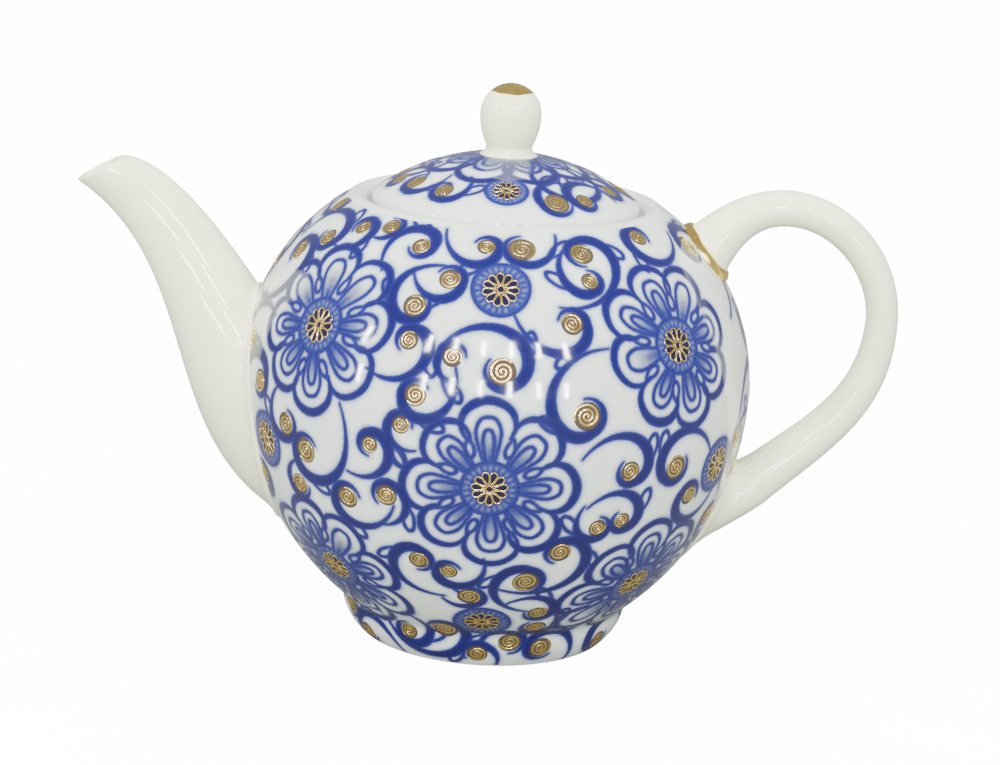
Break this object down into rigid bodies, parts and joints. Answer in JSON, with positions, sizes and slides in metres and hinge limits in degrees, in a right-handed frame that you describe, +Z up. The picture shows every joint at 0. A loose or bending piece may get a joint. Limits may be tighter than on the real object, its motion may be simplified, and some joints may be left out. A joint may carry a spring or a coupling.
{
  "type": "teapot",
  "caption": "Round porcelain teapot with swan spout, ear handle and lift-out domed lid, painted with cobalt flowers and gilding.",
  "frame": {"origin": "centre of the foot ring's resting plane", "axes": "+Z up along the pot's axis; the spout points to -X and the handle to +X; the decorated front faces -Y"},
  "size_m": [0.2204, 0.1368, 0.15],
  "materials": {
    "painted_porcelain": "high-gloss clear glaze over cobalt underglaze painting",
    "white_porcelain": "high-gloss clear glaze, undecorated",
    "gilding": "bright fired liquid gold"
  },
  "bodies": {
    "pot": {"pot_foot": "painted_porcelain", "pot_bowl": "painted_porcelain", "pot_shoulder": "painted_porcelain", "pot_gallery": "painted_porcelain", "spout": "white_porcelain", "handle": "white_porcelain", "handle_collar": "gilding"},
    "lid": {"lid": "painted_porcelain", "lid_knob": "white_porcelain"}
  },
  "joints": [
    {"name": "lid_lift", "type": "slide", "parent": "pot", "child": "lid", "axis": [0, 0, 1], "range_m": [0, 0.08]}
  ]
}
